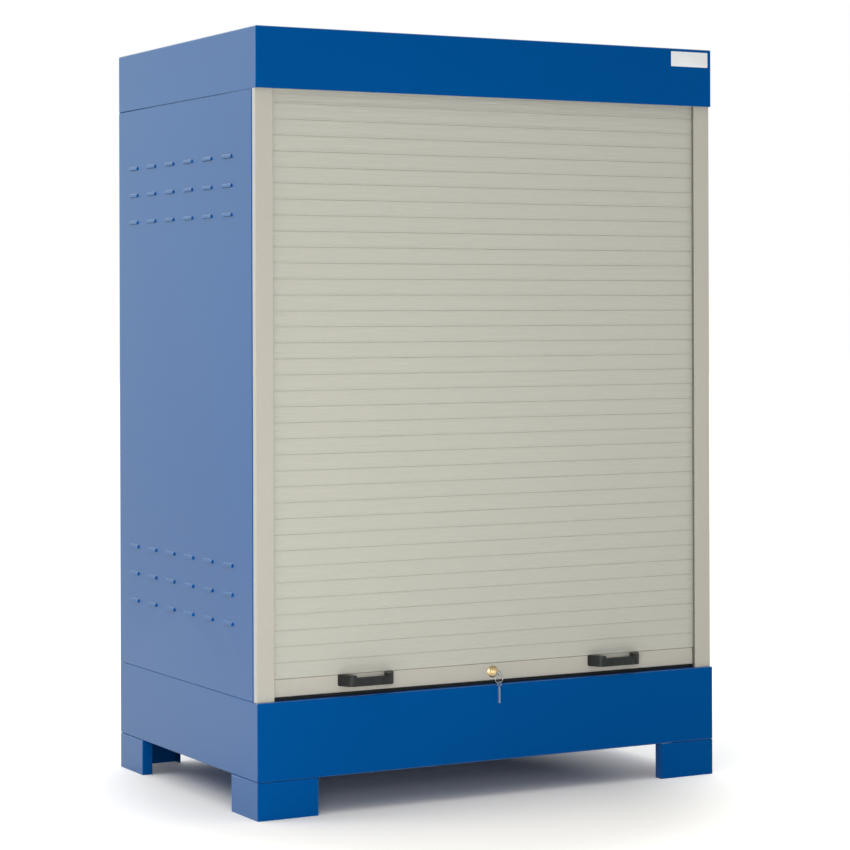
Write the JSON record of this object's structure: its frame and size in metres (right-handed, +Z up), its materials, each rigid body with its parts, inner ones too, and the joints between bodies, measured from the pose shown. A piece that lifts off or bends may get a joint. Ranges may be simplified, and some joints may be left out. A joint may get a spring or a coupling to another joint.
{
  "type": "roller shutter drum cabinet",
  "caption": "Sheet steel drum store with a spill sump on corner feet, louvred side walls, a cap roof and a lockable roller shutter of interlocking slats.",
  "frame": {"origin": "on the floor under the middle of the sump's footprint", "axes": "+Z up, -Y towards the shutter, +X to the right seen from the front"},
  "size_m": [1.459, 0.978, 2.08],
  "materials": {
    "blue_paint": "satin blue paint on sheet steel",
    "grey_coat": "light grey coating on aluminium sections",
    "galvanised": "galvanised",
    "zinc_screw": "zinc plated",
    "black_plastic": "matt",
    "liner_plastic": "matt grey",
    "handle_plastic": "fine grained",
    "lock_brass": "turned",
    "key_nickel": "nickel plated",
    "seal_rubber": "matt",
    "spring_steel": "oiled"
  },
  "bodies": {
    "cabinet": {"sump_tray": "blue_paint", "foot_front_left": "blue_paint", "foot_front_right": "blue_paint", "foot_rear_left": "blue_paint", "foot_rear_right": "blue_paint", "grating_ledge_left": "blue_paint", "grating_ledge_right": "blue_paint", "grating_beam": "blue_paint", "side_panel_left": "blue_paint", "side_panel_right": "blue_paint", "rear_panel": "blue_paint", "roof_hood": "blue_paint", "guide_rail_left": "grey_coat", "guide_rail_right": "grey_coat", "drum_shaft": "galvanised", "bearing_bracket_left": "galvanised", "bearing_bracket_right": "galvanised", "spring_collar": "galvanised", "strike_left": "galvanised", "strike_right": "galvanised", "bracket_screws": "zinc_screw", "rail_screws": "zinc_screw", "base_screws": "zinc_screw", "roof_studs": "zinc_screw", "guide_liner_left": "liner_plastic", "guide_liner_right": "liner_plastic", "torsion_spring": "spring_steel"},
    "shutter": {"curtain_slats": "grey_coat", "bottom_bar": "grey_coat", "bar_glide_left": "black_plastic", "bar_glide_right": "black_plastic", "bottom_seal": "seal_rubber", "handle_left": "handle_plastic", "handle_right": "handle_plastic", "handle_screws": "zinc_screw", "lock_housing": "lock_brass", "lock_nut": "lock_brass"},
    "lock_core": {"lock_plug": "lock_brass", "lock_cam": "galvanised", "key": "key_nickel"},
    "bolt_left": {"lock_bolt_left": "galvanised"},
    "bolt_right": {"lock_bolt_right": "galvanised"},
    "ring": {"key_ring": "key_nickel"},
    "spare": {"spare_key": "key_nickel"},
    "drum": {"winding_tube": "galvanised", "tube_bush_left": "black_plastic", "tube_bush_right": "black_plastic", "wound_slats": "grey_coat", "curtain_straps": "black_plastic"},
    "grate_left": {"grating_left": "galvanised"},
    "grate_right": {"grating_right": "galvanised"}
  },
  "joints": [
    {"name": "shutter_lift", "type": "slide", "parent": "cabinet", "child": "shutter", "axis": [0, 0, 1], "range_m": [0, 1.545], "deforming": ["curtain_slats"]},
    {"name": "drum_spin", "type": "hinge", "parent": "cabinet", "child": "drum", "pos_m": [0, -0.36716, 1.9725], "axis": [-1, 0, 0], "range_deg": [0, 1320]},
    {"name": "key_turn", "type": "hinge", "parent": "shutter", "child": "lock_core", "pos_m": [0, -0.4605, 0.341], "axis": [0, -1, 0], "range_deg": [0, 90]},
    {"name": "bolt_left_throw", "type": "slide", "parent": "shutter", "child": "bolt_left", "axis": [-1, 0, 0], "range_m": [0, 0.015]},
    {"name": "bolt_right_throw", "type": "slide", "parent": "shutter", "child": "bolt_right", "axis": [1, 0, 0], "range_m": [0, 0.015]},
    {"name": "ring_hang", "type": "hinge", "parent": "lock_core", "child": "ring", "pos_m": [0, -0.492, 0.3345], "axis": [0, -1, 0], "range_deg": [-90, 0]},
    {"name": "spare_swing", "type": "hinge", "parent": "ring", "child": "spare", "pos_m": [0, -0.492, 0.31369], "axis": [-1, 0, 0], "range_deg": [-5, 75]},
    {"name": "grating_left_lift", "type": "slide", "parent": "cabinet", "child": "grate_left", "axis": [0, 0, 1], "range_m": [0, 0.25]},
    {"name": "grating_right_lift", "type": "slide", "parent": "cabinet", "child": "grate_right", "axis": [0, 0, 1], "range_m": [0, 0.25]}
  ],
  "couplings": [
    {"joint": "drum_spin", "follows": "shutter_lift", "rad_per_m": 14.9},
    {"joint": "key_turn", "follows": "bolt_left_throw", "rad_per_m": 104.72},
    {"joint": "bolt_right_throw", "follows": "bolt_left_throw", "ratio": 1},
    {"joint": "ring_hang", "follows": "bolt_left_throw", "rad_per_m": -104.72}
  ]
}
